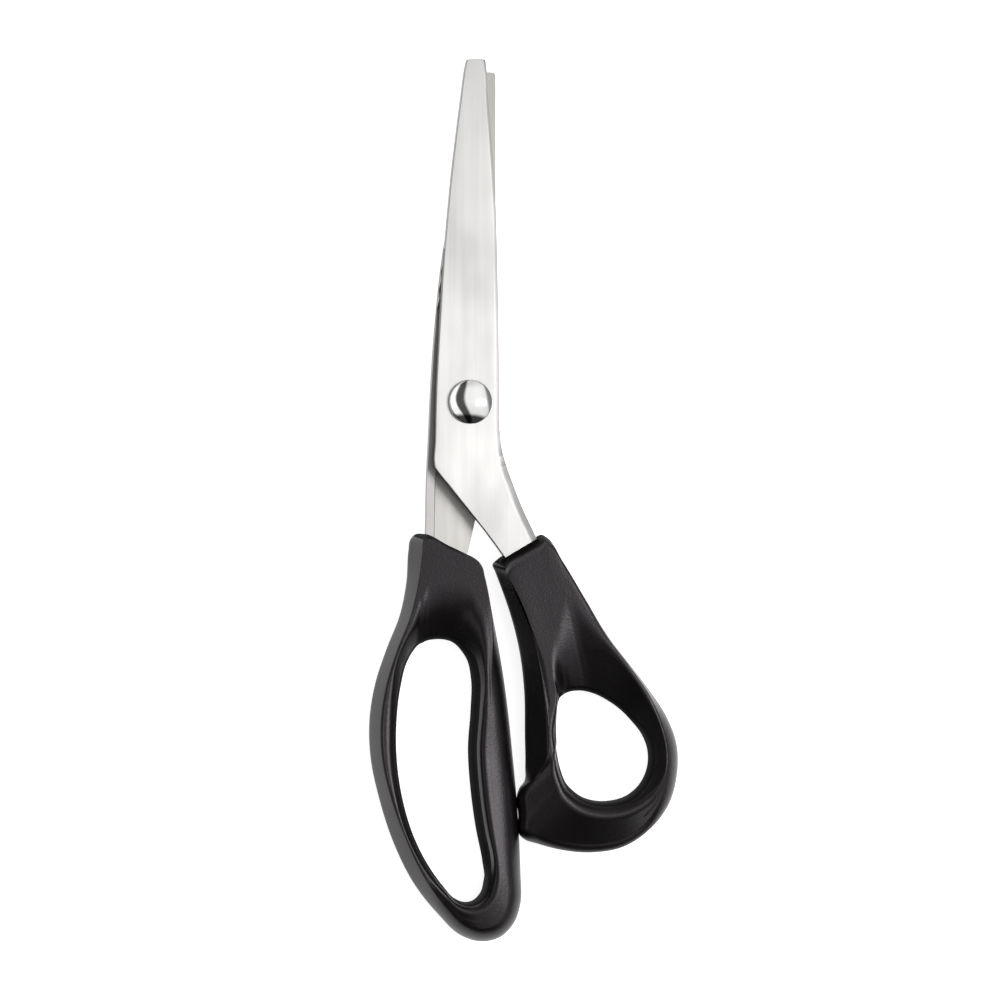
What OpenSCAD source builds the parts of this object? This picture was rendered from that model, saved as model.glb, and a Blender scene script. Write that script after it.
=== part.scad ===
// Pinking shears: two stamped steel blades with meshing V-teeth, moulded bow
// handles on their tangs, and a shoulder screw that holds them together.
// The shears lie on their back, closed. Z is the pivot axis, with z = 0 on the
// surface they rest on. +Y points to the blade tips and +X to the thumb handle.

/* [Blades] */
// Thickness of each blade's flat web
web_t = 2; // [1.6:0.1:2.2]
// Gap between the facing sides of the two webs
web_gap = 2.8; // [2.6:0.1:3.2]
// Width of the raised rim along each blade's toothed edge
rim_w = 2; // [1.8:0.1:2.4]
// Width of the bevel along each blade's back
back_bevel = 0.6; // [0.4:0.1:0.8]

/* [Teeth] */
// Distance from one tooth to the next
tooth_pitch = 4.6; // [4:0.2:5.4]
// Height of a tooth, from valley to crest
tooth_depth = 2.1; // [1.6:0.1:2.2]
// Flat left on each crest and in each valley
tooth_flat = 0.3; // [0.2:0.05:0.5]
// Gap between the meshing teeth, measured along the pivot
tooth_play = 0.16; // [0.1:0.02:0.2]
// Distance from the pivot to the first tooth
teeth_from = 22; // [20:0.5:26]

/* [Pivot] */
// Diameter of the screw's domed head
head_d = 11.4; // [10:0.2:12]
// Height of the domed head
head_h = 2.4; // [1.8:0.1:2.6]
// Diameter of the screw's shoulder, which the front blade turns on
shoulder_d = 6.4; // [6:0.1:7]
// Radial clearance of the front blade on the shoulder
running_gap = 0.05; // [0.03:0.01:0.08]
// Width across the two flats that key the screw in the rear blade
key_w = 5; // [5:0.1:5.4]
// Diameter of the screw's threaded end
thread_d = 4.8; // [4:0.2:5]
// Hexagon nut, across flats
nut_af = 9; // [8:0.5:10]
// Thickness of the nut
nut_h = 2.4; // [2:0.1:2.6]
// Height of the conical spring washer as it sits under the nut
spring_h = 0.5; // [0.4:0.05:0.6]
// Thickness of the slip washer between the blades
slip_t = 0.3; // [0.2:0.05:0.4]
// Outside diameter of the slip washer
slip_d = 12.6; // [10:0.2:13]

/* [Handles] */
// Steps of the handles' outlines between two stations
bow_steps = 2; // [1:1:3]
// Steps in each rounded edge of the handles
round_steps = 4; // [3:1:5]
// Diameter of the holes where the moulding grips the tang
lock_d = 3.5; // [3:0.5:4]

/* [Hidden] */
$fn = 96;

// Heights along the pivot, from the resting surface up
rear_out = nut_h + spring_h;
rear_in = rear_out + web_t;
mid = rear_in + web_gap / 2;
front_in = mid + web_gap / 2;
front_out = front_in + web_t;
bow_h = 2 * mid;

// Round bosses on the webs, the screw's head and the washers
boss_d = 13.4;
head_edge = 0.6;
nut_chamfer = 0.4;
spring_d = 12;
spring_t = 0.35;

// Radial play of the key and the two washers, and the gap under the head
key_play = 0.02;
spring_play = 0.2;
slip_play = 0.05;
seat_gap = 0.03;

// How far cutters reach past what they cut, and sizes beyond the whole part
over = 1;
tip_r = 92;
far = 200;

black = [0.07, 0.07, 0.075];
steel = [0.8, 0.8, 0.79];
brass = [0.72, 0.6, 0.34];

// ---- Guide curves ---------------------------------------------------------

// A cubic through four points. The tangents are weighted by the chords, so
// points that stand close together make a tight bend and no loop.
least_chord = 0.02;
function chord(a, b) = max(norm(b - a), least_chord);
function tangent(a, b, c) =
    ((b - a) / chord(a, b) * chord(b, c) + (c - b) / chord(b, c) * chord(a, b))
    / (chord(a, b) + chord(b, c));
function hermite(p, q, m, n, t) =
    p * (2 * pow(t, 3) - 3 * t * t + 1) + m * (pow(t, 3) - 2 * t * t + t)
    + q * (3 * t * t - 2 * pow(t, 3)) + n * (pow(t, 3) - t * t);
function between(a, b, c, d, t) =
    hermite(b, c, tangent(a, b, c) * chord(b, c), tangent(b, c, d) * chord(b, c), t);

function column(rows, k) = [for (r = rows) r[k]];

// Points along a closed guide curve, and along one with two ends
function closed_curve(p, steps) = let (n = len(p)) [
    for (i = [0 : n - 1], k = [0 : steps - 1])
        between(p[(i + n - 1) % n], p[i], p[(i + 1) % n], p[(i + 2) % n], k / steps)
];
function open_curve(p, steps) = let (n = len(p)) concat([
    for (i = [0 : n - 2], k = [0 : steps - 1])
        between(p[max(i - 1, 0)], p[i], p[i + 1], p[min(i + 2, n - 1)], k / steps)
], [p[n - 1]]);

// Sizes that change evenly from one station to the next
function closed_blend(v, steps) = let (n = len(v)) [
    for (i = [0 : n - 1], k = [0 : steps - 1])
        v[i] * (1 - k / steps) + v[(i + 1) % n] * k / steps
];
function open_blend(v, steps) = let (n = len(v)) concat([
    for (i = [0 : n - 2], k = [0 : steps - 1]) v[i] * (1 - k / steps) + v[i + 1] * k / steps
], [v[n - 1]]);

// ---- Solids skinned over rings of points ----------------------------------

function skin(n, m, wrap) = [
    for (i = [0 : wrap ? n - 1 : n - 2], k = [0 : m - 1])
        let (
            a = i * m + k,
            b = i * m + (k + 1) % m,
            c = (i + 1) % n * m + (k + 1) % m,
            d = (i + 1) % n * m + k
        )
        each [[a, b, c], [a, c, d]]
];
function end_caps(n, m) =
    [[for (k = [m - 1 : -1 : 0]) k], [for (k = [0 : m - 1]) (n - 1) * m + k]];

module loop_solid(rings) {
    polyhedron([for (r = rings) each r], skin(len(rings), len(rings[0]), true));
}

module bar_solid(rings) {
    n = len(rings);
    m = len(rings[0]);
    polyhedron([for (r = rings) each r], concat(skin(n, m, false), end_caps(n, m)));
}

// ---- Blades ---------------------------------------------------------------

// Each row pairs a point on a blade's back with one on its toothed edge, and
// gives the width of the bend along that edge. The last rows are the tang.
front_rows = [
    [[-0.4, 89.2], [2.9, 89.1], 0.5],
    [[-1.0, 88.8], [3.6, 88.7], 0.5],
    [[-1.4, 87.9], [4.2, 87.7], 0.6],
    [[-2.3, 80], [4.7, 80], 0.7],
    [[-3.6, 70], [5.4, 70], 0.7],
    [[-4.8, 60], [6.2, 60], 0.8],
    [[-5.8, 50], [6.8, 50], 0.8],
    [[-6.7, 40], [7.1, 40], 0.9],
    [[-8.0, 20], [7.5, 20], 1.0],
    [[-8.9, 3], [7.7, 3], 1.1],
    [[-9.2, -10], [7.9, -8], 1.2],
    [[-9.3, -16.7], [8.6, -13], 1.4],
    [[-8.7, -17.4], [9.1, -15], 1.5],
    [[-4.9, -22], [11.3, -21], 1.8],
    [[-0.7, -27.5], [13.7, -27], 2],
    [[4.3, -34], [17, -34], 2],
    [[9.6, -41.2], [20.3, -41], 1.8],
    [[15.7, -50], [23.8, -48.6], 1.4],
    [[20.5, -58], [26.6, -55.5], 1],
];
rear_rows = [
    [[6.5, 86.1], [1.6, 86.2], 0.5],
    [[7.2, 85.7], [0.7, 85.8], 0.5],
    [[7.6, 85], [0.2, 84.9], 0.6],
    [[7.7, 75], [-1.1, 75], 0.7],
    [[7.7, 60], [-3.1, 60], 0.8],
    [[7.7, 50], [-4.4, 50], 0.8],
    [[7.8, 40], [-5.9, 40], 0.9],
    [[7.9, 20], [-8.4, 20], 1.0],
    [[7.7, 3], [-9.7, 3], 1.1],
    [[7.2, -10], [-10.3, -10], 1.2],
    [[5.2, -20], [-10.8, -20], 1.4],
    [[2.3, -30], [-11, -30], 1.5],
    [[0.2, -39], [-11.1, -39], 1.5],
    [[-1.8, -47], [-10.8, -47], 1.2],
    [[-3.4, -54.5], [-9.8, -54.5], 1],
];
blade_steps = 3;
bend_steps = 4;
front_tang = 14;
rear_tang = 11;
front_locks = [[15.6, -43.5], [19.6, -50.2]];
rear_locks = [[-5.2, -43], [-5.9, -49.5]];

// Rims stand this far past the tooth crests before the teeth are cut
rim_spare = 0.2;
rim_top = tooth_depth / 2 + rim_spare;

// Drop of a bevel or a bend as a share of its width
bevel_fall = 0.7;

// One section of a blade: up its back, over its outer face, round the bend,
// along the toothed edge to the rim, and back to the web's inner face.
function blade_ring(back, edge, bend, inner, outer, rim) =
    let (
        out = sign(outer - inner),
        across = (edge - back) / norm(edge - back),
        bevel = back + across * back_bevel,
        step = edge - across * rim_w
    )
    concat(
        [
            [back[0], back[1], inner],
            [back[0], back[1], outer - out * back_bevel * bevel_fall],
            [bevel[0], bevel[1], outer],
        ],
        [
            for (k = [0 : bend_steps])
                let (t = 90 * k / bend_steps, p = edge - across * bend * (1 - sin(t)))
                [p[0], p[1], outer - out * bend * bevel_fall * (1 - cos(t))]
        ],
        [[edge[0], edge[1], rim], [step[0], step[1], rim], [step[0], step[1], inner]]
    );

module blade_blank(rows, first, inner, outer, rim) {
    backs = open_curve(column(rows, 0), blade_steps);
    edges = open_curve(column(rows, 1), blade_steps);
    bends = open_blend(column(rows, 2), blade_steps);
    bar_solid([
        for (i = [first * blade_steps : len(backs) - 1])
            blade_ring(backs[i], edges[i], bends[i], inner, outer, rim)
    ]);
}

module front_blank(first) {
    blade_blank(front_rows, first, front_in, front_out, mid - rim_top);
}

module rear_blank(first) {
    blade_blank(rear_rows, first, rear_in, rear_out, mid + rim_top);
}

module lock_holes(spots) {
    for (p = spots)
        translate([p[0], p[1], 0])
            cylinder(d = lock_d, h = bow_h);
}

// The surface both rims are cut to: V-grooves turned about the pivot axis, so
// that the teeth stay in mesh at every opening angle.
function tooth_line(level) = [
    for (r = [teeth_from : tooth_pitch : tip_r])
        let (q = tooth_pitch / 4, f = tooth_flat / 2, d = tooth_depth / 2)
        each [
            [r + q - f, level + d], [r + q + f, level + d],
            [r + 3 * q - f, level - d], [r + 3 * q + f, level - d],
        ]
];

// What is cut from a blade on the far side of that surface. dir is +1 for the
// rear blade, which is cut from above, and -1 for the front blade.
module mesh_cutter(dir) {
    flat = mid - dir * slip_t / 2;
    clear = mid + dir * web_gap;
    rotate_extrude(angle = 180)
        polygon(concat(
            [[0, clear], [0, flat], [teeth_from, flat]],
            tooth_line(mid - dir * tooth_play / 2),
            [[tip_r + 2 * tooth_pitch, mid], [tip_r + 2 * tooth_pitch, clear]]
        ));
    tang_cutter(dir);
}

module tang_cutter(dir) {
    flat = mid - dir * slip_t / 2;
    translate([-far / 2, -far, min(flat, flat + dir * web_gap)])
        cube([far, far, web_gap]);
}

module rear_blade() {
    color(steel)
        difference() {
            union() {
                rear_blank(0);
                translate([0, 0, rear_out])
                    cylinder(d = boss_d, h = mid - rear_out);
            }
            mesh_cutter(1);
            key_shape(key_play, rear_out - over, mid + over);
            lock_holes(rear_locks);
        }
}

module front_blade() {
    color(steel)
        difference() {
            union() {
                front_blank(0);
                translate([0, 0, mid])
                    cylinder(d = boss_d, h = front_out - mid);
            }
            mesh_cutter(-1);
            cylinder(d = shoulder_d + 2 * running_gap, h = far);
            lock_holes(front_locks);
        }
}

// ---- Pivot ----------------------------------------------------------------

// The double-D part of the screw, and with play added the hole it sits in
module key_shape(play, low, high) {
    translate([0, 0, low])
        intersection() {
            cylinder(d = shoulder_d + 2 * play, h = high - low);
            translate([-key_w / 2 - play, -shoulder_d, 0])
                cube([key_w + 2 * play, 2 * shoulder_d, high - low]);
        }
}

module pivot_screw() {
    seat = front_out + seat_gap;
    ledge = mid - slip_t / 2;
    rise = head_h - head_edge;
    dome_r = (pow(head_d / 2, 2) + rise * rise) / (2 * rise);
    color(steel) {
        translate([0, 0, ledge])
            cylinder(d = shoulder_d, h = seat - ledge);
        translate([0, 0, seat])
            intersection() {
                cylinder(d = head_d, h = head_h);
                translate([0, 0, head_h - dome_r])
                    sphere(r = dome_r);
            }
        key_shape(0, rear_out, ledge);
        cylinder(d = thread_d, h = rear_out);
    }
}

module pivot_nut() {
    corner_d = nut_af / cos(30);
    face_d = nut_af - nut_chamfer;
    color(steel)
        difference() {
            intersection() {
                cylinder(d = corner_d, h = nut_h, $fn = 6);
                cylinder(d1 = face_d, d2 = face_d + 4 * nut_h, h = nut_h);
            }
            translate([0, 0, -over])
                cylinder(d = thread_d, h = nut_h + 2 * over);
        }
}

module spring_washer() {
    hole_r = thread_d / 2 + spring_play;
    color(steel)
        rotate_extrude()
            polygon([
                [hole_r, nut_h], [spring_d / 2, rear_out - spring_t],
                [spring_d / 2, rear_out], [hole_r, nut_h + spring_t],
            ]);
}

module slip_washer() {
    color(brass)
        translate([0, 0, mid - slip_t / 2])
            difference() {
                cylinder(d = slip_d, h = slip_t - seat_gap);
                translate([0, 0, -over])
                    cylinder(d = shoulder_d + 2 * slip_play, h = slip_t + 2 * over);
            }
}

// ---- Handles --------------------------------------------------------------

// Each row is one station round a bow: a point on its outer outline, the point
// across from it on the finger hole, and how far the rounding of the outer and
// the inner edge reaches in from them.
finger_rows = [
    [[-15.8, -38.5], [-12, -62.6], 2.6, 3],
    [[-15.3, -35.7], [-11.4, -62.3], 1.6, 3],
    [[-14, -34.4], [-10.6, -62], 0.8, 3],
    [[-11.6, -34.3], [-9.4, -61.8], 0.8, 3],
    [[-5.4, -37.2], [-7.6, -61.7], 0.8, 3],
    [[-1, -39.3], [-5.5, -62], 0.8, 3],
    [[1.8, -40.7], [-4.4, -62.4], 0.8, 3],
    [[3.4, -42.2], [-3.6, -62.9], 1, 3],
    [[4.1, -45], [-2.8, -63.6], 1.2, 3],
    [[5.4, -50.5], [-1.8, -64.8], 1.6, 3],
    [[7.1, -59], [-0.4, -67], 2, 3],
    [[9.1, -70], [0.7, -72], 2.4, 3],
    [[10.6, -81], [0.6, -80], 2.6, 3],
    [[11.7, -91.5], [-0.1, -90], 2.6, 3],
    [[12.6, -100.5], [0.5, -100], 2.6, 3],
    [[13.4, -112], [2, -111], 2.6, 3],
    [[13.9, -123], [3.7, -119.5], 2.6, 3],
    [[13.9, -130.5], [4.2, -124.5], 3, 3],
    [[12.1, -135.8], [3.4, -127.6], 3.2, 3],
    [[8.5, -139.4], [1.4, -129.6], 3.4, 3],
    [[3.4, -140.5], [-0.9, -130.1], 3.4, 3],
    [[-2, -138.8], [-3.5, -129.2], 3.4, 3],
    [[-8, -133.2], [-6.7, -125.8], 3.2, 2.4],
    [[-14.1, -125.6], [-10.8, -120], 3, 2],
    [[-19.7, -114.6], [-14.9, -111.5], 2.8, 2],
    [[-23.5, -103], [-17.6, -102], 2.8, 2],
    [[-25.8, -92], [-19, -91], 2.8, 2],
    [[-26, -82], [-18.9, -82], 2.8, 2],
    [[-24.5, -73], [-17.8, -74], 2.8, 2],
    [[-21.4, -63.8], [-16.2, -67.8], 2.8, 2],
    [[-18.1, -55.5], [-14.4, -64.6], 2.8, 2.6],
    [[-16.3, -46.5], [-12.9, -63], 2.8, 3],
];
thumb_rows = [
    [[7.1, -44.2], [23.8, -78.2], 2.4, 2.6],
    [[6.4, -42.2], [24, -77.5], 1.4, 2.6],
    [[7.6, -41], [24.6, -76.8], 0.8, 2.6],
    [[12.9, -37.9], [25.9, -75.9], 0.8, 3],
    [[17.5, -35.3], [27.5, -75.4], 0.8, 3],
    [[19.3, -34.5], [28.6, -75.3], 0.8, 3],
    [[20.9, -35.3], [30, -75.3], 1, 3],
    [[24.6, -40.8], [31.7, -75.6], 1.2, 3],
    [[30.7, -50.7], [34.1, -76.4], 1.6, 3],
    [[36.9, -60.8], [37.1, -78], 2, 3],
    [[42.9, -68.5], [40.2, -80.2], 2.4, 3],
    [[48.3, -75.5], [43.2, -83.2], 2.8, 3],
    [[52.7, -82.2], [46, -86.8], 3, 3],
    [[55.4, -89.5], [47.5, -90.8], 3.2, 3],
    [[55.6, -97], [47.3, -95.8], 3.2, 3],
    [[53.2, -105.2], [45.2, -100], 3.2, 3],
    [[48, -111.9], [41.8, -102.8], 3.2, 3],
    [[41.2, -116.2], [37.7, -104], 3.2, 3],
    [[33, -117.6], [33.6, -104], 3.2, 3],
    [[24.9, -116.9], [30.2, -103], 3, 3],
    [[18.4, -115], [27.6, -101.2], 2.6, 3],
    [[15.2, -113.7], [26, -99.5], 1.6, 3],
    [[14.2, -112.4], [25.3, -98.2], 0.8, 3],
    [[13.7, -106.5], [24.6, -96.5], 0.8, 3],
    [[13.3, -101.6], [24, -94.8], 0.8, 3],
    [[14.3, -99.2], [23.7, -93.2], 1.4, 3],
    [[15, -96.5], [23.4, -91], 2.4, 2.6],
    [[14.9, -87], [23.2, -86.5], 3.4, 2],
    [[14.7, -75], [23.3, -82.5], 3.4, 2],
    [[13.5, -65], [23.4, -80.8], 3.2, 2.2],
    [[11.3, -56], [23.5, -79.7], 3, 2.4],
    [[8.8, -48.7], [23.6, -78.9], 2.8, 2.6],
];

// Height of a rounding as a share of its reach, outside and in the finger hole,
// and the flat that is left between two roundings at mid height
outer_rise = 2;
hole_rise = 1.8;
half_flat = 0.5;

// One section of a handle: a flat bar from the outer edge to the finger hole,
// with all four of its edges rounded to quarter ellipses.
function bow_ring(outer, inner, a, b) =
    let (
        w = norm(inner - outer),
        u = (inner - outer) / w,
        top = min(outer_rise * a, mid - half_flat),
        hole = min(hole_rise * b, mid - half_flat),
        arc = [for (k = [0 : round_steps]) [sin(90 * k / round_steps), cos(90 * k / round_steps)]],
        n = round_steps,
        line = concat(
            [for (k = [0 : n]) [a * (1 - arc[k][0]), top * (1 - arc[k][1])]],
            [for (k = [0 : n]) [a * (1 - arc[n - k][0]), bow_h - top * (1 - arc[n - k][1])]],
            [for (k = [0 : n]) [w - b * (1 - arc[k][0]), bow_h - hole * (1 - arc[k][1])]],
            [for (k = [0 : n]) [w - b * (1 - arc[n - k][0]), hole * (1 - arc[n - k][1])]]
        )
    )
    [for (p = line) [outer[0] + u[0] * p[0], outer[1] + u[1] * p[0], p[1]]];

module bow(rows) {
    outer = closed_curve(column(rows, 0), bow_steps);
    inner = closed_curve(column(rows, 1), bow_steps);
    outer_round = closed_blend(column(rows, 2), bow_steps);
    inner_round = closed_blend(column(rows, 3), bow_steps);
    loop_solid([
        for (i = [0 : len(outer) - 1])
            bow_ring(outer[i], inner[i], outer_round[i], inner_round[i])
    ]);
}

module finger_handle() {
    color(black)
        difference() {
            bow(finger_rows);
            difference() {
                rear_blank(rear_tang);
                tang_cutter(1);
                lock_holes(rear_locks);
            }
        }
}

module thumb_handle() {
    color(black)
        difference() {
            bow(thumb_rows);
            difference() {
                front_blank(front_tang);
                tang_cutter(-1);
                lock_holes(front_locks);
            }
        }
}

rear_blade();
finger_handle();
front_blade();
thumb_handle();
pivot_screw();
pivot_nut();
spring_washer();
slip_washer();
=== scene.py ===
import math

import bpy
import numpy as np
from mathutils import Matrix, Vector


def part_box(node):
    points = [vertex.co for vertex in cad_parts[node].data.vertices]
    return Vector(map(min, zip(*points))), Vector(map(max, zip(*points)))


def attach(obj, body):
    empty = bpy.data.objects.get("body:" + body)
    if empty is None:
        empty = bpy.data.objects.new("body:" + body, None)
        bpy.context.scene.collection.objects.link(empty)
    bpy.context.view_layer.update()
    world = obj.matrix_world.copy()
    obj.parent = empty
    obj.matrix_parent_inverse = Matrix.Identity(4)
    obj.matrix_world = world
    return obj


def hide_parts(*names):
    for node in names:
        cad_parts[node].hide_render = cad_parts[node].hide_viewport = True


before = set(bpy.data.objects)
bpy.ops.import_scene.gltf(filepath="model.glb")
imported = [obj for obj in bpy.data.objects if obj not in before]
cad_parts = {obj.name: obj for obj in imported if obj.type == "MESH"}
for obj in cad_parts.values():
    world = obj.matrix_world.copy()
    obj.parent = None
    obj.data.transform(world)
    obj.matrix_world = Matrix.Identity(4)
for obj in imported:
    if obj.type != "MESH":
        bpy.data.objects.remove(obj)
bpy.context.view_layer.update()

scene = bpy.context.scene
MM = 0.001


def corner(node, end, axis):
    """One edge of a node's box in millimetres: end 0 is the low one and 1 the high one."""
    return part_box(node)[end][axis] / MM


# Heights along the pivot, and the pivot's widths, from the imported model. WEB is how
# thick a blade's plate is, and SEAT_GAP what is left under the screw's head.
HANDLE_TOP = corner("finger_handle", 1, 2)
MID = HANDLE_TOP / 2
REAR_OUT = corner("rear_blade", 0, 2)
FRONT_OUT = corner("front_blade", 1, 2)
WEB = 2.0
REAR_IN = REAR_OUT + WEB
FRONT_IN = FRONT_OUT - WEB
SEAT_GAP = 0.03
HEAD_BASE = FRONT_OUT + SEAT_GAP
HEAD_TOP = corner("pivot_screw", 1, 2)
HEAD_R = (corner("pivot_screw", 1, 0) - corner("pivot_screw", 0, 0)) / 2
NUT_TOP = corner("pivot_nut", 1, 2)
NUT_FLATS = corner("pivot_nut", 1, 1) - corner("pivot_nut", 0, 1)


# ---- Curves and meshes -------------------------------------------------------

# The shortest chord that a tangent is weighted by
LEAST_CHORD = 0.02


def spline(points, steps, closed, pairs=1):
    """Points along a cubic through the given ones, with chord-weighted tangents.

    Each of the leading pairs of columns is weighted by its own chords, and the rest
    by those of the first pair."""
    p = np.array(points, float)
    n = len(p)
    pick = (lambda i: p[i % n]) if closed else (lambda i: p[min(max(i, 0), n - 1)])

    def gap(a, b):
        moved = (b - a)[:2 * pairs].reshape(pairs, 2)
        chords = np.maximum(np.linalg.norm(moved, axis=1), LEAST_CHORD)
        return np.append(np.repeat(chords, 2), np.full(p.shape[1] - 2 * pairs, chords[0]))

    def slope(a, b, c):
        u, v = gap(a, b), gap(b, c)
        return ((b - a) / u * v + (c - b) / v * u) / (u + v)

    out = []
    for i in range(n if closed else n - 1):
        a, b, c, d = pick(i - 1), pick(i), pick(i + 1), pick(i + 2)
        m, k = slope(a, b, c) * gap(b, c), slope(b, c, d) * gap(b, c)
        for t in np.arange(steps) / steps:
            out.append(b * (2 * t**3 - 3 * t * t + 1) + m * (t**3 - 2 * t * t + t)
                       + c * (3 * t * t - 2 * t**3) + k * (t**3 - t * t))
    if not closed:
        out.append(p[-1])
    return np.array(out)


def add_piece(name, verts, faces, body, node, material, smooth_angle):
    """A mesh in millimetres that stands in for a node and rides on a body."""
    mesh = bpy.data.meshes.new(name)
    mesh.from_pydata([tuple(v) for v in np.asarray(verts) * MM], [], faces)
    mesh.validate()
    mesh.update()
    obj = bpy.data.objects.new(name, mesh)
    scene.collection.objects.link(obj)
    mesh.materials.append(material)
    mesh.shade_smooth()
    mesh.set_sharp_from_angle(angle=math.radians(smooth_angle))
    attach(obj, body)
    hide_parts(node)
    return obj


def ring_faces(n, m, wrap):
    """Quads between n rings of m points, joined end to end if wrap is set."""
    faces = []
    for i in range(n if wrap else n - 1):
        j = (i + 1) % n
        for k in range(m):
            h = (k + 1) % m
            faces.append((i * m + k, i * m + h, j * m + h, j * m + k))
    return faces


def lathe(profile, segments=128, closed=False):
    """Vertices and faces of a profile of (radius, height) turned about Z."""
    turns = [2 * math.pi * k / segments for k in range(segments)]
    verts, m = [], len(profile)
    for a in turns:
        verts += [(r * math.cos(a), r * math.sin(a), z) for r, z in profile]
    faces = []
    for i in range(segments):
        j = (i + 1) % segments
        for k in range(m if closed else m - 1):
            h = (k + 1) % m
            faces.append((i * m + k, j * m + k, j * m + h, i * m + h))
    return verts, faces


# The most of either side that a fillet takes, so that two fillets never meet
SIDE_SHARE = 0.47


def fillet(before, at, after, reach, steps):
    """A rounded corner as a quadratic curve that starts and ends reach from it."""
    a, b = before - at, after - at
    la, lb = np.linalg.norm(a), np.linalg.norm(b)
    cut = min(reach, SIDE_SHARE * la, SIDE_SHARE * lb)
    p, q = at + a / la * cut, at + b / lb * cut
    ts = [k / steps for k in range(steps + 1)]
    return [p * (1 - t)**2 + at * 2 * t * (1 - t) + q * t * t for t in ts]


# ---- Materials ---------------------------------------------------------------

class Nodes:
    """A short way to wire a material's nodes."""

    def __init__(self, name):
        self.material = bpy.data.materials.new(name)
        self.material.use_nodes = True
        self.tree = self.material.node_tree
        self.bsdf = self.tree.nodes["Principled BSDF"]

    def add(self, kind, **values):
        node = self.tree.nodes.new("ShaderNode" + kind)
        for key, value in values.items():
            key = key.replace("_", " ")
            if key in node.inputs:
                node.inputs[key].default_value = value
            else:
                setattr(node, key.replace(" ", "_"), value)
        return node

    def link(self, a, b):
        self.tree.links.new(a, b)

    def set(self, **values):
        for key, value in values.items():
            self.bsdf.inputs[key.replace("_", " ")].default_value = value

    def place(self, scale):
        """Object coordinates, stretched by scale."""
        coord = self.add("TexCoord")
        mapping = self.add("Mapping")
        mapping.inputs["Scale"].default_value = scale
        self.link(coord.outputs["Object"], mapping.inputs["Vector"])
        return mapping.outputs["Vector"]

    def noise(self, where, **values):
        node = self.add("TexNoise", **values)
        self.link(where, node.inputs["Vector"])
        return node.outputs["Fac"]

    def remap(self, source, low, high, start=0.0, end=1.0):
        node = self.add("MapRange")
        for key, value in (("From Min", start), ("From Max", end), ("To Min", low), ("To Max", high)):
            node.inputs[key].default_value = value
        self.link(source, node.inputs["Value"])
        return node.outputs["Result"]

    def blend(self, factor, a, b):
        node = self.add("Mix", data_type="RGBA")
        self.link(factor, node.inputs["Factor"])
        node.inputs["A"].default_value = (*a, 1)
        node.inputs["B"].default_value = (*b, 1)
        return node.outputs["Result"]

    def bump(self, layers):
        """Stacks bumps, each (height socket, strength, distance in metres)."""
        normal = None
        for height, strength, distance in layers:
            node = self.add("Bump", Strength=strength, Distance=distance)
            self.link(height, node.inputs["Height"])
            if normal:
                self.link(normal, node.inputs["Normal"])
            normal = node.outputs["Normal"]
        self.link(normal, self.bsdf.inputs["Normal"])


def brushed_steel(name, tone, rough, grain=1.0, brushed=False):
    """Satin steel with fine lines along Y, long soft streaks and faint handling marks."""
    n = Nodes(name)
    fine = n.noise(n.place((9000, 110, 9000)), Scale=1.0, Detail=3.0, Roughness=0.6)
    lines = n.noise(n.place((2200, 22, 2200)), Scale=1.0, Detail=4.0, Roughness=0.75)
    streaks = n.noise(n.place((420, 9, 420)), Scale=1.0, Detail=2.0, Roughness=0.5)
    cloud = n.noise(n.place((90, 40, 90)), Scale=1.0, Detail=2.0, Roughness=0.5)
    mixed = n.add("Math", operation="MULTIPLY_ADD")
    n.link(lines, mixed.inputs[0])
    mixed.inputs[1].default_value = 0.8
    n.link(streaks, mixed.inputs[2])
    n.link(n.blend(n.remap(mixed.outputs[0], 0, 1, 0.6, 1.2), [t * 0.87 for t in tone], tone),
           n.bsdf.inputs["Base Color"])
    n.link(n.remap(cloud, rough - 0.05, rough + 0.07, 0.3, 0.7), n.bsdf.inputs["Roughness"])
    n.bump([(lines, 0.22 * grain, 0.00003), (fine, 0.25 * grain, 0.00001)])
    n.set(Metallic=1.0, Anisotropic=0.75 if brushed else 0.0)
    if brushed:
        tangent = n.add("Tangent", direction_type="UV_MAP", uv_map="brushing")
        n.link(tangent.outputs[0], n.bsdf.inputs["Tangent"])
    return n.material


def plastic(name):
    """Black moulded plastic: satin, finely grained, with worn, glossier patches."""
    n = Nodes(name)
    grain = n.noise(n.place((1, 1, 1)), Scale=3400.0, Detail=3.0, Roughness=0.65)
    pebble = n.noise(n.place((1, 1, 1)), Scale=1700.0, Detail=1.0, Roughness=0.4)
    cloud = n.noise(n.place((1, 1, 1)), Scale=45.0, Detail=2.0, Roughness=0.5)
    n.link(n.blend(cloud, (0.0022, 0.0017, 0.0020), (0.0034, 0.0027, 0.0031)), n.bsdf.inputs["Base Color"])
    n.link(n.remap(cloud, 0.29, 0.37, 0.3, 0.7), n.bsdf.inputs["Roughness"])
    n.bump([(pebble, 0.3, 0.00010), (grain, 0.4, 0.00004)])
    n.set(IOR=1.42, Specular_Tint=(1.0, 0.93, 0.985, 1))
    return n.material


def painted_shade_dark(name):
    """Dull black that paints shade, with a faintly uneven surface."""
    n = Nodes(name)
    grain = n.noise(n.place((1, 1, 1)), Scale=2600.0, Detail=2.0, Roughness=0.6)
    n.link(n.blend(grain, (0.0008, 0.0008, 0.0009), (0.002, 0.002, 0.002)), n.bsdf.inputs["Base Color"])
    n.bump([(grain, 0.4, 0.00004)])
    n.set(Roughness=0.7, Specular_IOR_Level=0.1)
    return n.material


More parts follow.
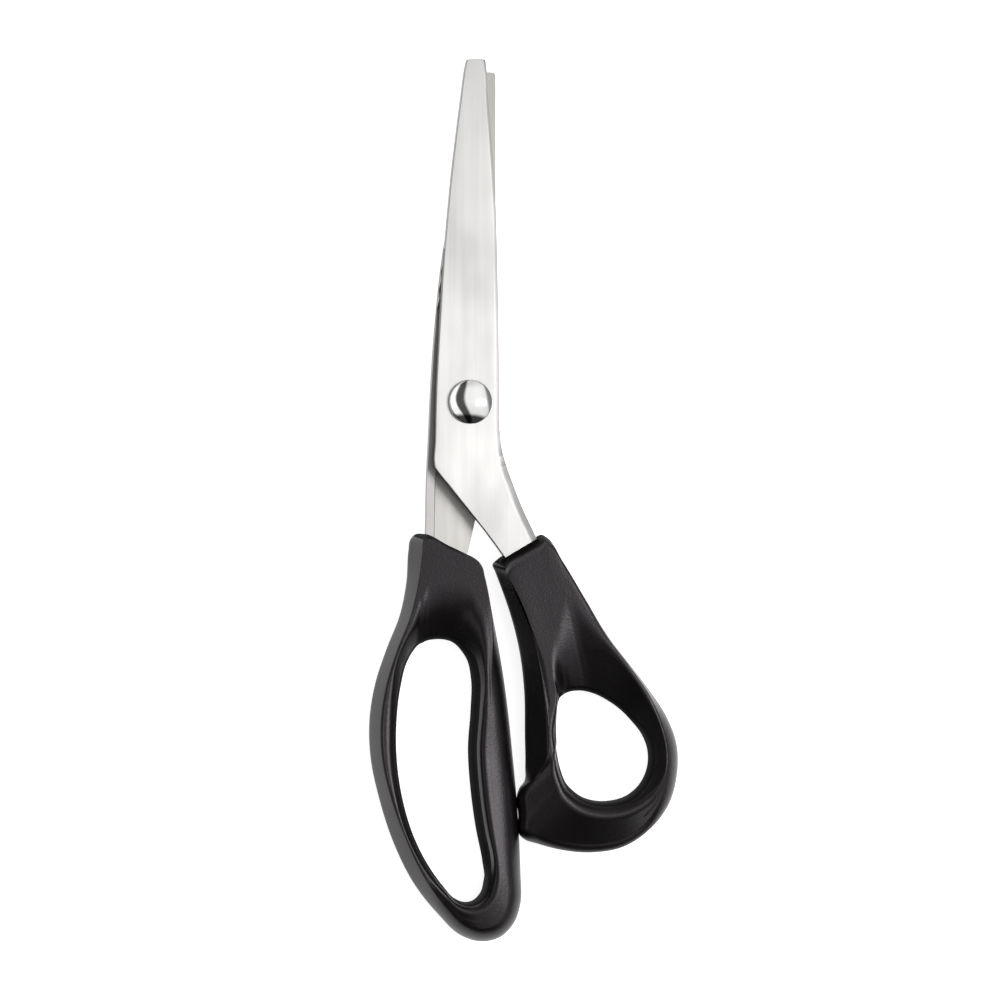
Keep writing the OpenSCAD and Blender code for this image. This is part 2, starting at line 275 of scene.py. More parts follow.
def polished(name, tone, rough):
    """Polished plate with hairline scratches and a faint cloud in its gloss."""
    n = Nodes(name)
    hair = n.noise(n.place((700, 5200, 700)), Scale=1.0, Detail=5.0, Roughness=0.75)
    cloud = n.noise(n.place((1, 1, 1)), Scale=400.0, Detail=2.0, Roughness=0.5)
    n.link(n.blend(cloud, [t * 0.97 for t in tone], tone), n.bsdf.inputs["Base Color"])
    n.link(n.remap(hair, rough, rough + 0.08, 0.35, 0.75), n.bsdf.inputs["Roughness"])
    n.bump([(hair, 0.04, 0.00001)])
    n.set(Metallic=1.0)
    return n.material


STEEL = brushed_steel("blade_brushed", (0.455, 0.45, 0.442), 0.42, brushed=True)
# A darker copy of the blade steel that paints the shade on the bend and the edge walls
BEND_SHADE_STEEL = brushed_steel("blade_bend_painted_shade", (0.34, 0.331, 0.326), 0.40, brushed=True)
# A darker copy of the blade steel that paints the shade on the inner faces, under and between the blades
INSIDE_SHADE_STEEL = brushed_steel("blade_inner_painted_shade", (0.35, 0.341, 0.328), 0.40, brushed=True)
# Near black steel that paints the shade in the gap beside the front blade and on its back wall
RIDE_SHADE_STEEL = brushed_steel("blade_ride_painted_shade", (0.04, 0.038, 0.036), 0.40)
# A dark copy of the blade steel that paints the shade on the step inside the toothed rim, in the gap
# between the blades
TOOTH_SHADE_STEEL = brushed_steel("blade_teeth_painted_shade", (0.2, 0.195, 0.188), 0.34)
NUT_STEEL = brushed_steel("nut_zinc", (0.62, 0.62, 0.61), 0.34, 0.6)
CHROME = polished("pivot_chrome", (0.86, 0.86, 0.85), 0.05)
BRASS = brushed_steel("slip_brass", (0.72, 0.58, 0.32), 0.34, 0.6)
PLASTIC = plastic("handle_black")
# Dull black that paints shade on the bows' hole walls, the collar's mouth and the strip where the blade
# enters it
SHADE_DARK = painted_shade_dark("collar_painted_shade")


# ---- Handles -----------------------------------------------------------------

# How a section of a handle runs from the outline over the top to the finger hole:
# depth of the rounded lip below the top, how far in that lip lies, how low the
# outer edge lies, the radius of that edge, how far the outer side bulges, and how
# far the face dips just inside the edge, which leaves a bead there.
COLLAR = (4.8, 1.0, 0.0, 0.3, 0.0, 0.0)
SIDE = (2.0, 0.55, 0.0, 0.5, 0.03, 0.06)
SHOULDER = (4.0, 1.4, 0.4, 1.0, 0.06, 0.0)
RIDGE = (3.4, 1.5, 1.0, 1.5, 0.12, 0.0)
HEEL = (2.2, 0.5, 1.2, 1.8, 0.12, 0.0)
RING = (3.6, 0.8, 0.3, 1.6, 0.14, 0.0)
TURN = (3.4, 0.8, 2.0, 1.8, 0.12, 0.0)
FLANK = (2.0, 0.7, 0.0, 1.5, 0.0, 0.16)
RIM = (5.0, 0.8, 0.1, 0.45, 0.03, 0.04)


def limb(depth):
    """A section between COLLAR and SIDE, for the turn into the finger bow's left limb."""
    return (depth, 0.6, 0.0, 0.45, 0.03, 0.02 * (4.8 - depth))


def body(sink):
    """A section of the thumb bow's heavy lower side, which falls away from the hole."""
    return (2.8, 0.7, sink, 2.4, 0.12, 0.0)


# One row for each station round a bow: a point on the outline at mid height, one
# on the edge of the top face, one on the finger hole, how far the slope into the
# hole reaches, and the section.
FINGER_ROWS = [
    ((-15.8, -38.5), (-13.1, -38.8), (-12.0, -62.6), 8.6, COLLAR),
    ((-15.3, -35.7), (-12.9, -36.4), (-11.4, -62.3), 9.2, COLLAR),
    ((-14.0, -34.4), (-12.6, -35.5), (-10.6, -62.0), 9.8, COLLAR),
    ((-11.6, -34.3), (-11.7, -35.4), (-9.4, -61.8), 10.2, COLLAR),
    ((-5.4, -37.2), (-5.8, -38.2), (-7.6, -61.7), 10.4, COLLAR),
    ((-1.0, -39.3), (-1.5, -40.2), (-5.5, -62.0), 10.2, COLLAR),
    ((1.8, -40.7), (1.2, -41.6), (-4.4, -62.4), 9.8, COLLAR),
    ((3.4, -42.2), (2.6, -42.8), (-3.6, -62.9), 9.2, COLLAR),
    ((4.1, -45.0), (3.3, -45.3), (-2.8, -63.6), 8.4, COLLAR),
    ((5.4, -50.5), (4.5, -50.8), (-1.8, -64.8), 7.2, COLLAR),
    ((7.1, -59.0), (5.6, -59.6), (-0.4, -67.0), 5.0, SHOULDER),
    ((9.1, -70.0), (5.6, -70.6), (0.7, -72.0), 3.2, RIDGE),
    ((10.6, -81.0), (6.2, -80.9), (0.6, -80.0), 2.7, RIDGE),
    ((11.7, -91.5), (6.1, -91.2), (-0.1, -90.0), 2.7, RIDGE),
    ((12.6, -100.5), (6.7, -100.4), (0.5, -100.0), 2.7, RIDGE),
    ((13.4, -112.0), (7.9, -111.5), (2.0, -111.0), 2.7, RIDGE),
    ((13.9, -123.0), (9.2, -121.4), (3.7, -119.5), 2.7, RIDGE),
    ((13.9, -130.5), (9.8, -127.9), (4.2, -124.5), 2.4, HEEL),
    ((12.1, -135.8), (8.9, -132.7), (3.4, -127.6), 2.2, HEEL),
    ((8.5, -139.4), (6.3, -136.0), (1.4, -129.6), 2.1, HEEL),
    ((3.4, -140.5), (2.4, -137.0), (-0.9, -130.1), 2.1, HEEL),
    ((-2.0, -138.8), (-1.8, -135.6), (-3.5, -129.2), 2.2, HEEL),
    ((-8.0, -133.2), (-6.7, -131.0), (-6.7, -125.8), 2.4, HEEL),
    ((-14.1, -125.6), (-12.0, -124.0), (-10.8, -120.0), 2.8, SIDE),
    ((-19.7, -114.6), (-17.2, -113.6), (-14.9, -111.5), 2.6, SIDE),
    ((-23.5, -103.0), (-21.2, -102.6), (-17.6, -102.0), 2.6, SIDE),
    ((-25.8, -92.0), (-23.6, -91.8), (-19.0, -91.0), 2.8, SIDE),
    ((-26.0, -82.0), (-23.8, -82.0), (-18.9, -82.0), 2.8, SIDE),
    ((-24.5, -73.0), (-22.4, -73.3), (-17.8, -74.0), 3.2, limb(2.8)),
    ((-21.4, -63.8), (-19.6, -64.3), (-16.2, -67.8), 4.0, limb(3.6)),
    ((-18.1, -55.5), (-16.3, -56.0), (-14.4, -64.6), 6.0, limb(4.4)),
    ((-16.3, -46.5), (-14.1, -46.8), (-12.9, -63.0), 8.0, limb(4.8)),
]
THUMB_ROWS = [
    ((7.1, -44.2), (9.7, -45.2), (23.8, -78.2), 3.8, FLANK),
    ((6.4, -42.2), (8.6, -43.2), (24.0, -77.5), 4.6, FLANK),
    ((7.6, -41.0), (8.9, -42.5), (24.6, -76.8), 6.0, FLANK),
    ((12.9, -37.9), (13.6, -39.5), (25.9, -75.9), 9.5, RIM),
    ((17.5, -35.3), (18.0, -36.9), (27.5, -75.4), 12.5, RIM),
    ((19.3, -34.5), (19.3, -35.8), (28.6, -75.3), 14.5, RIM),
    ((20.9, -35.3), (20.3, -36.3), (30.0, -75.3), 16.2, RIM),
    ((24.6, -40.8), (23.8, -41.3), (31.7, -75.6), 17.5, RIM),
    ((30.7, -50.7), (29.8, -51.2), (34.1, -76.4), 16.0, RIM),
    ((36.9, -60.8), (36.0, -61.5), (37.1, -78.0), 13.8, RIM),
    ((42.9, -68.5), (41.9, -69.2), (40.2, -80.2), 9.9, RIM),
    ((48.3, -75.5), (46.9, -76.4), (43.2, -83.2), 6.6, RIM),
    ((52.7, -82.2), (50.2, -83.6), (46.0, -86.8), 4.8, RING),
    ((55.4, -89.5), (51.8, -90.0), (47.5, -90.8), 4.1, RING),
    ((55.55, -97.0), (51.7, -96.5), (47.3, -95.8), 3.9, RING),
    ((53.3, -105.2), (50.4, -103.4), (45.2, -100.0), 3.6, TURN),
    ((48.0, -111.9), (46.7, -110.0), (41.8, -102.8), 3.6, body(4.4)),
    ((41.2, -116.2), (40.6, -114.0), (37.7, -104.0), 3.5, body(4.6)),
    ((33.0, -117.6), (33.1, -115.3), (33.6, -104.0), 3.4, body(4.6)),
    ((24.9, -116.9), (25.7, -114.7), (30.2, -103.0), 3.3, body(4.4)),
    ((18.4, -115.2), (19.6, -113.2), (27.6, -101.2), 3.1, body(3.9)),
    ((14.7, -113.9), (16.4, -112.3), (26.0, -99.5), 3.0, body(3.5)),
    ((13.65, -113.0), (15.6, -111.6), (25.3, -98.2), 2.9, body(3.4)),
    ((13.2, -107.5), (15.2, -106.6), (24.6, -96.3), 2.8, body(3.2)),
    ((12.87, -102.4), (15.0, -101.7), (24.0, -94.2), 2.6, body(3.0)),
    ((13.5, -100.6), (16.0, -99.7), (23.7, -92.6), 2.5, body(2.8)),
    ((14.8, -98.9), (17.9, -97.3), (23.4, -91.0), 2.4, TURN),
    ((15.0, -95.0), (19.6, -93.2), (23.3, -89.2), 2.3, FLANK),
    ((14.9, -87.0), (19.8, -86.6), (23.2, -86.2), 2.2, FLANK),
    ((14.7, -75.0), (18.8, -75.0), (23.3, -82.5), 2.4, FLANK),
    ((13.5, -65.0), (17.0, -65.2), (23.4, -80.8), 2.6, FLANK),
    ((11.3, -56.0), (14.7, -56.6), (23.5, -79.7), 2.8, FLANK),
    ((8.8, -48.7), (11.9, -49.4), (23.6, -78.9), 2.8, FLANK),
]

# Stations between two rows, and the depth of the parting line
BOW_STEPS = 7
PARTING = 0.07

# Points of a section: up the outer wall as shares of it, across the bead inside its
# edge in millimetres, along the rest of the face as shares of what is left to the
# slope, and round the three rounded corners
WALL_STEPS = np.linspace(0.02, 0.86, 8)
BEAD_STEPS = (0.15, 0.45, 0.8, 1.15, 1.5, 1.9, 2.4)
FACE_STEPS = (0.35, 0.15, 0.03)
EDGE_STEPS, CREASE_STEPS, LIP_STEPS = 5, 9, 5

# The reach of the rounding at the crease as a share of the slope's, the radius of the
# lip, and the most that the slope, the lip and the bead take of a narrow section
CREASE_SOFTNESS = 0.6
LIP_RADIUS = 1.4
MOST_SLOPE, MOST_LIP, MOST_BEAD = 0.88, 0.5, 0.45


def hole_normals(rows):
    """Level directions square to the finger hole's edge, pointing into the handle."""
    holes = rows[:, 4:6]
    along = np.roll(holes, -1, axis=0) - np.roll(holes, 1, axis=0)
    out = np.stack([along[:, 1], -along[:, 0], np.zeros(len(rows))], axis=1)
    out /= np.linalg.norm(out, axis=1)[:, None]
    return out * np.sign(np.sum(out[:, :2] * (rows[:, 2:4] - holes), axis=1))[:, None]


def bow_ring(row, square):
    """One section of a handle, round both halves from the outline and back to it.

    square is the level direction from the hole's edge straight into the handle."""
    outline, edge, hole = (np.array([*row[i:i + 2], 0.0]) for i in (0, 2, 4))
    reach, depth, draft, sink, radius, bulge, dip = np.maximum(row[6:], 0)
    span = np.linalg.norm(edge - hole)
    inward = (edge - hole) / span
    outline[2], hole[2], edge[2] = MID, MID, HANDLE_TOP - sink
    crease = hole + inward * min(reach, MOST_SLOPE * span)
    crease[2] = HANDLE_TOP
    lip = hole + square * min(draft, MOST_LIP * span)
    lip[2] = HANDLE_TOP - depth
    out = (outline - edge) * (1, 1, 0)
    swell = (out + np.array([0, 0, np.linalg.norm(out)])) * bulge
    line = outline - out / np.linalg.norm(out) * PARTING
    side = [outline + (edge - outline) * t + swell * 4 * t * (1 - t) for t in WALL_STEPS]
    top = [line] + side + fillet(side[-1], edge, crease, radius, EDGE_STEPS)
    slope = fillet(edge, crease, lip, CREASE_SOFTNESS * reach, CREASE_STEPS)
    start, flat = top[-1], slope[0] - top[-1]
    for d in BEAD_STEPS:
        sag = dip * math.sin(math.pi * d / BEAD_STEPS[-1])**2
        top.append(start + flat * min(d / np.linalg.norm(flat), MOST_BEAD) - (0, 0, sag))
    top += [slope[0] - flat * t for t in FACE_STEPS]
    top += slope + fillet(crease, lip, hole, LIP_RADIUS, LIP_STEPS) + [hole]
    top = [np.array([p[0], p[1], min(p[2], HANDLE_TOP)]) for p in top]
    below = [np.array([p[0], p[1], HANDLE_TOP - p[2]]) for p in top[-2:0:-1]]
    return top + below


# The thumb collar's mouth from end to end, the way it faces, and the section of the dull
# black strip there, a painted shade, as distances out of the mouth and heights above the blade
MOUTH_LINE = [(8.3, -41.8), (10.8, -40.3), (13.3, -38.8), (15.6, -37.5), (18.1, -36.05)]
MOUTH_FACES = (-0.49, 0.87)
SHADE_DARK_SECTION = [(-0.3, 0.0), (-0.3, 0.5), (0.35, 0.42), (0.6, 0.2), (0.65, 0.0)]


def shade_dark_strip():
    """A low dull black strip on the front blade where it enters the collar, painted shade for the dark gap
    there.
    """
    verts = []
    for x, y in MOUTH_LINE:
        for off, rise in SHADE_DARK_SECTION:
            verts.append((x + MOUTH_FACES[0] * off, y + MOUTH_FACES[1] * off, FRONT_OUT + rise))
    n, m = len(MOUTH_LINE), len(SHADE_DARK_SECTION)
    return verts, ring_faces(n, m, False) + [tuple(range(m - 1, -1, -1)), tuple(range(n * m - m, n * m))]


# How far down a collar's mouth runs, and how level its run has to be, where the mouth's walls are painted
# dull black as shade
MOUTH_FROM = -43
MOUTH_LEAN = 0.72


def add_handle(name, rows, body, node, extra=((), ())):
    """A bow with dull black painted shade on its hole's wall and its mouth, and in an extra mesh."""
    flat = [(*o, *e, *h, reach, *section) for o, e, h, reach, section in rows]
    stations = spline(flat, BOW_STEPS, True, 3)
    rings = [bow_ring(*pair) for pair in zip(stations, hole_normals(stations))]
    verts = [p for ring in rings for p in ring]
    faces = ring_faces(len(rings), len(rings[0]), True)
    more, strips = extra
    faces += [tuple(len(verts) + k for k in face) for face in strips]
    verts += [np.array(v) for v in more]
    obj = add_piece(name, verts, faces, body, node, PLASTIC, 80)
    obj.data.materials.append(SHADE_DARK)
    count = len(rings[0])
    outer = len(WALL_STEPS) + 2
    inner = range(count // 2 - LIP_STEPS, count // 2 + LIP_STEPS + 1)
    run = np.roll(stations[:, :2], -1, axis=0) - stations[:, :2]
    mouth = (run[:, 0] > MOUTH_LEAN * np.hypot(*run.T)) & (stations[:, 1] > MOUTH_FROM)
    # Faces round the hole's lip, on the mouth's walls and in the extra strip take the dull black that
    # paints shade
    for k, face in enumerate(obj.data.polygons):
        ring, place = divmod(k, count)
        shaded = ring >= len(rings) or place in inner
        if not shaded and mouth[ring]:
            shaded = place < outer or place >= count - outer
        face.material_index = 1 if shaded else 0


add_handle("finger_bow", FINGER_ROWS, "rear_half", "finger_handle")
add_handle("thumb_bow", THUMB_ROWS, "front_half", "thumb_handle", shade_dark_strip())


# ---- Blades ------------------------------------------------------------------

# The same outline as the CAD blades: a point on the back, one on the toothed
# edge, and the width of the bend along that edge.
FRONT_ROWS = [
    ((-0.3, 89.1), (3.35, 89.1), 0.5),
    ((-0.7, 88.95), (3.8, 88.9), 0.5),
    ((-0.95, 88.6), (4.05, 88.5), 0.6),
    ((-1.15, 87.8), (4.17, 87.7), 0.6),
    ((-2.3, 80), (4.7, 80), 0.7),
    ((-3.6, 70), (5.4, 70), 0.7),
    ((-4.8, 60), (6.2, 60), 0.8),
    ((-5.8, 50), (6.8, 50), 0.8),
    ((-6.7, 40), (7.1, 40), 0.9),
    ((-8.0, 20), (7.5, 20), 1.0),
    ((-8.9, 3), (7.7, 3), 1.1),
    ((-9.2, -10), (7.9, -8), 1.2),
    ((-9.35, -16.7), (8.75, -13.6), 1.4),
    ((-9.28, -17.05), (8.85, -14), 1.4),
    ((-9.05, -17.4), (9.0, -14.5), 1.5),
    ((-5.2, -22.2), (11.3, -21), 1.8),
    ((-0.85, -27.6), (13.7, -27), 2),
    ((4.3, -34), (17, -34), 2),
    ((9.6, -41.2), (20.3, -41), 1.8),
    ((15.7, -50), (23.8, -48.6), 1.4),
]
REAR_ROWS = [
    ((6.7, 86.0), (1.6, 86.2), 0.5),
    ((7.2, 85.8), (0.9, 85.9), 0.5),
    ((7.4, 85.4), (0.4, 85.3), 0.6),
    ((7.45, 84.0), (0.1, 84.0), 0.6),
    ((7.45, 75), (-1.1, 75), 0.7),
    ((7.5, 60), (-3.1, 60), 0.8),
    ((7.5, 50), (-4.4, 50), 0.8),
    ((7.6, 40), (-6.2, 40), 0.9),
    ((7.9, 20), (-8.5, 20), 1.0),
    ((7.7, 3), (-9.7, 3), 1.1),
    ((7.2, -10), (-10.3, -10), 1.2),
    ((5.2, -20), (-10.8, -20), 1.4),
    ((2.3, -30), (-11, -30), 1.5),
    ((0.2, -39), (-11.1, -39), 1.5),
    ((-1.8, -47), (-10.8, -47), 1.2),
]

# Width of the rim along the toothed edge, width and slope of the bevel along the back,
# how far the bend drops over its width, and the roundings of its two corners as
# shares of that width
RIM_WIDTH = 2.0
BACK_BEVEL, BEVEL_DROP = 0.22, 0.7
BEND_DROP = 0.45
BEND_ROUND, EDGE_ROUND = 0.3, 0.18

# The step from the rim to the plate: how far from the rim, and how far up. The last
# one goes all the way.
RIM_STEPS = [(0.12, 0.1), (0.3, 0.35)]
RIM_FOOT = 0.36

# Teeth: pitch, depth, level width at a crest, play between the two rows, and the
# radius at which they begin. SLIP is the gap between the smooth parts of the blades,
# CLEAR and TIP_CLEAR are what is left between a tooth's corner and a plain section
# or the tip, and TOUCH is how near to a tooth's corner still counts as on it.
PITCH, DEPTH, FLAT, PLAY, FIRST = 4.6, 2.1, 0.3, 0.16, 22
SLIP = 0.3
CLEAR, TIP_CLEAR, TOUCH = 0.3, 0.4, 0.05
MOST_TEETH = 20
BLADE_STEPS = 10

# Along Y: the near black steel by the rims, a painted shade, and the front blade's darker
# bent edge, also painted shade, begin at the first of these; the front blade's back wall
# is painted near black, as shade, up to the second
RIDE_SHADE_FROM = -17
SHADED_BACK_TO = 40

# The steels of a blade in the order of its mesh's materials, all but the first darker
# copies that paint shade, the face of a section that is the back's wall, the one where
# the bend's painted shade begins, and the width and least angle of the edges that are
# softened
OUTSIDE, BEND, INSIDE, RIDE_SHADE, TOOTH = range(5)
BACK_WALL, BEND_FROM = 0, 5
SOFT_EDGE, SOFT_ANGLE = 0.12, 28


def tooth_height(r):
    """Height of the meshing surface above the middle plane, r from the pivot."""
    if r <= FIRST:
        return 0
    q, f = PITCH / 4, FLAT / 2
    xs = [0, q - f, q + f, 3 * q - f, 3 * q + f, PITCH]
    hs = [0, DEPTH / 2, DEPTH / 2, -DEPTH / 2, -DEPTH / 2, 0]
    return float(np.interp((r - FIRST) % PITCH, xs, hs))


def blade_stations(rows):
    """Rows at even steps down the blade, and at every corner of every tooth."""
    curve = spline([(*b, *e, w) for b, e, w in rows], BLADE_STEPS, False)
    top = int(np.argmax(curve[:, 3] < FIRST + 1))
    toothed = curve[:top][::-1]
    back_r = np.hypot(toothed[:, 0], toothed[:, 1])
    edge_r = np.hypot(toothed[:, 2], toothed[:, 3])
    q, f = PITCH / 4, FLAT / 2
    bends = (0, q - f, q + f, 3 * q - f, 3 * q + f)
    marks = [FIRST + k * PITCH + s for k in range(MOST_TEETH) for s in bends]
    marks = [m for m in marks if m < min(edge_r.max(), back_r.max()) - TIP_CLEAR]
    out = [c for c in curve[:top] if np.hypot(c[2], c[3]) > marks[-1] + CLEAR]
    for m in reversed(marks):
        edge = [np.interp(m, edge_r, toothed[:, k]) for k in (2, 3, 4)]
        back = [np.interp(m, back_r, toothed[:, k]) for k in (0, 1)]
        out.append(np.array([*back, *edge]))
    out += [c for c in curve[top:] if np.hypot(c[2], c[3]) < FIRST - CLEAR or c[3] < 0]
    return out


def blade_ring(station, inner, outer):
    """One section of a blade, from the back over the outer face to the rim and inside.

    It comes with the places round it of the faces that belong to the bend."""
    out = 1 if outer > inner else -1
    back, edge, bend = station[0:2], station[2:4], station[4]
    across = (edge - back) / np.linalg.norm(edge - back)
    bevel, step = back + across * BACK_BEVEL, edge - across * RIM_WIDTH
    flat = MID + out * SLIP / 2
    ring = [(*back, inner), (*back, outer - out * BACK_BEVEL * BEVEL_DROP), (*bevel, outer)]
    fold = [(bevel, outer), (edge - across * bend, outer), (edge, outer - out * BEND_DROP * bend),
            (edge, inner)]
    fold = [np.array([*p, z]) for p, z in fold]
    ring += [tuple(p) for p in fillet(*fold[:3], BEND_ROUND * bend, 4)]
    ring += [tuple(p) for p in fillet(*fold[1:], EDGE_ROUND * bend, 3)]
    bent = range(BEND_FROM, len(ring) + 1)
    tooth = MID + out * PLAY / 2 + tooth_height(np.hypot(*edge))
    for p in (edge, step):
        ring.append((*p, tooth if p[1] > 0 and np.hypot(*p) > FIRST - TOUCH else flat))
    ring += [(*(step - across * away), flat + out * up) for away, up in RIM_STEPS]
    ring.append((*(step - across * RIM_FOOT), inner))
    return ring, bent


def blade_finish(place, bent, y, front):
    """Which steel a face has, from its place round the section and where it lies in Y. Every steel but the
    outside one is a darker copy that paints shade.
    """
    if place == BACK_WALL:
        return RIDE_SHADE if front and y < SHADED_BACK_TO else OUTSIDE
    if place < bent[0]:
        return OUTSIDE
    if place in bent:
        return OUTSIDE if front and y < RIDE_SHADE_FROM else BEND
    if place > bent[-1] + 2 or y <= RIDE_SHADE_FROM:
        return INSIDE
    return RIDE_SHADE if y < FIRST else TOOTH


def add_blade(name, rows, body, node, inner, outer):
    """A blade from its rows, with its steels, the darker of which paint shade, and a brushing direction
    along Y.
    """
    rings = []
    for station in blade_stations(rows):
        ring, bent = blade_ring(station, inner, outer)
        rings.append(ring)
    n, m = len(rings), len(rings[0])
    faces = ring_faces(n, m, False)
    faces.append(tuple(range(m - 1, -1, -1)))
    faces.append(tuple((n - 1) * m + k for k in range(m)))
    verts = [p for ring in rings for p in ring]
    obj = add_piece(name, verts, faces, body, node, STEEL, SOFT_ANGLE)
    for steel in (BEND_SHADE_STEEL, INSIDE_SHADE_STEEL, RIDE_SHADE_STEEL, TOOTH_SHADE_STEEL):
        obj.data.materials.append(steel)
    for k, face in enumerate(obj.data.polygons[:(n - 1) * m]):
        face.material_index = blade_finish(k % m, bent, face.center.y / MM, outer > inner)
    layer = obj.data.uv_layers.new(name="brushing")
    for loop in obj.data.loops:
        x, y, z = obj.data.vertices[loop.vertex_index].co
        layer.data[loop.index].uv = (10 * (x + z), 10 * y)
    soften = obj.modifiers.new("soften", "BEVEL")
    soften.width = SOFT_EDGE * MM
    soften.segments = 2
    soften.limit_method = "ANGLE"
    soften.angle_limit = math.radians(SOFT_ANGLE)
    soften.harden_normals = True


add_blade("front_blade_steel", FRONT_ROWS, "front_half", "front_blade", FRONT_IN, FRONT_OUT)
add_blade("rear_blade_steel", REAR_ROWS, "rear_half", "rear_blade", REAR_IN, REAR_OUT)


# ---- Pivot -------------------------------------------------------------------

# Height of the head's edge, radii of the screw's shoulder and thread, play in the nut,
# bore radii of the two washers and how thick the cone washer is
HEAD_EDGE = 0.7
SHOULDER_R, THREAD_R, CLEARANCE = 3.2, 2.4, 0.02
CONE_BORE, SLIP_BORE, CONE_STOCK = 2.6, 3.25, 0.35


def add_screw():
    """A domed head on a shouldered shank with a dimple in its end."""
    rise = HEAD_TOP - HEAD_BASE - HEAD_EDGE
    dome_r = (HEAD_R**2 + rise**2) / (2 * rise)
    dome = [(HEAD_R * s, HEAD_TOP - dome_r + math.sqrt(dome_r**2 - (HEAD_R * s)**2))
            for s in np.linspace(0, 0.975, 26)]
    rim = [(HEAD_R - 0.03, HEAD_BASE + HEAD_EDGE - 0.02), (HEAD_R, HEAD_BASE + HEAD_EDGE - 0.2),
           (HEAD_R, HEAD_BASE + 0.25), (HEAD_R - 0.1, HEAD_BASE + 0.06), (HEAD_R - 0.3, HEAD_BASE)]
    seat = MID - SLIP / 2
    shank = [(SHOULDER_R, HEAD_BASE), (SHOULDER_R, seat), (THREAD_R, seat), (THREAD_R, 0.3)]
    shank += [(2.2, 0.08), (2.0, 0.0), (1.2, 0.0), (0.9, 0.25), (0.0, 0.3)]
    verts, faces = lathe(dome + rim + shank)
    add_piece("pivot_dome_screw", verts, faces, "rear_half", "pivot_screw", CHROME, 40)


def add_nut():
    """A turned nut whose widest rings are pulled out to a hexagon."""
    r, bore = NUT_FLATS / 2, THREAD_R + CLEARANCE
    profile = [(bore, 0.0), (r - 0.3, 0.0), (r, 0.25), (r, NUT_TOP), (bore, NUT_TOP)]
    verts, faces = lathe(profile, 96, True)
    pulled = []
    for x, y, z in verts:
        side = math.radians(60)
        off = (math.atan2(y, x) % side) - side / 2
        pull = 1 / math.cos(off) if math.hypot(x, y) > r - 0.01 else 1
        pulled.append((x * pull, y * pull, z))
    add_piece("pivot_hex_nut", pulled, faces, "rear_half", "pivot_nut", NUT_STEEL, 30)


def add_washers():
    """The cone washer between the nut and the rear blade, and the flat one between the blades."""
    outer = (corner("spring_washer", 1, 0) - corner("spring_washer", 0, 0)) / 2
    verts, faces = lathe([(CONE_BORE, NUT_TOP), (outer, REAR_OUT - CONE_STOCK), (outer, REAR_OUT - 0.01),
                          (CONE_BORE, NUT_TOP + CONE_STOCK)], 96, True)
    add_piece("cone_washer", verts, faces, "rear_half", "spring_washer", NUT_STEEL, 30)
    outer = (corner("slip_washer", 1, 0) - corner("slip_washer", 0, 0)) / 2
    low, high = (corner("slip_washer", k, 2) for k in (0, 1))
    verts, faces = lathe([(SLIP_BORE, low), (outer, low), (outer, high), (SLIP_BORE, high)], 96, True)
    add_piece("slip_washer_disc", verts, faces, "rear_half", "slip_washer", BRASS, 30)


add_screw()
add_nut()
add_washers()


# ---- Stage, light and camera -------------------------------------------------

def add_camera():
    """A long lens that looks down from a little to the left, as the object is pictured."""
    tilt = math.radians(10)
    width, reach = 0.26, 1.6
    aim = Vector((7.8, -25.5, FRONT_OUT)) * MM
    cam = bpy.data.objects.new("camera", bpy.data.cameras.new("camera"))
    scene.collection.objects.link(cam)
    cam.data.sensor_width = 36
    cam.data.lens = 36 * reach / width
    cam.location = aim + reach * Vector((-math.sin(tilt), 0, math.cos(tilt)))
    cam.rotation_mode = "XYZ"
    cam.rotation_euler = (0, -tilt, 0)
    cam.data.clip_end = 10
    scene.camera = cam


def add_softbox(name, place, size, watts):
    """A rectangular lamp that looks at the middle of the object."""
    data = bpy.data.lights.new(name, "AREA")
    data.shape = "RECTANGLE"
    data.size, data.size_y = size
    data.energy = watts
    lamp = bpy.data.objects.new(name, data)
    scene.collection.objects.link(lamp)
    lamp.location = place
    lamp.rotation_mode = "QUATERNION"
    lamp.rotation_quaternion = (Vector((0.01, -0.02, 0)) - Vector(place)).to_track_quat("-Z", "Y")


def ramp(tree, source, stops):
    """A grey ramp over a socket, with stops of (value of the socket, grey)."""
    low, high = stops[0][0], stops[-1][0]
    fit = tree.nodes.new("ShaderNodeMapRange")
    fit.inputs["From Min"].default_value = low
    fit.inputs["From Max"].default_value = high
    tree.links.new(source, fit.inputs["Value"])
    node = tree.nodes.new("ShaderNodeValToRGB")
    node.color_ramp.interpolation = "EASE"
    while len(node.color_ramp.elements) < len(stops):
        node.color_ramp.elements.new(0.5)
    for element, (at, value) in zip(node.color_ramp.elements, stops):
        element.position = (at - low) / (high - low)
        element.color = (value, value, value, 1)
    tree.links.new(fit.outputs["Result"], node.inputs[0])
    return node.outputs[0]


# The world's light against the lean from overhead, left to right in radians, and
# against Y, from behind the bows to beyond the tips
ACROSS = [(-1.6, 0.06), (-1.1, 0.05), (-1.0, 0.42), (-0.68, 0.42), (-0.58, 0.03), (-0.26, 0.03),
          (-0.08, 0.34), (0.6, 0.36), (0.95, 0.32), (1.12, 0.08), (1.6, 0.04)]
ALONG = [(-1, 0.07), (-0.9, 0.04), (-0.67, 0.04), (-0.5, 0.85), (0.0, 1.0), (0.6, 1.0), (0.85, 0.7),
         (1, 0.6)]
WORLD_LIGHT = 3.0

# How far the ends of the panels bend, and how far they slant
BENDING, SLANT = -0.5, 0.25


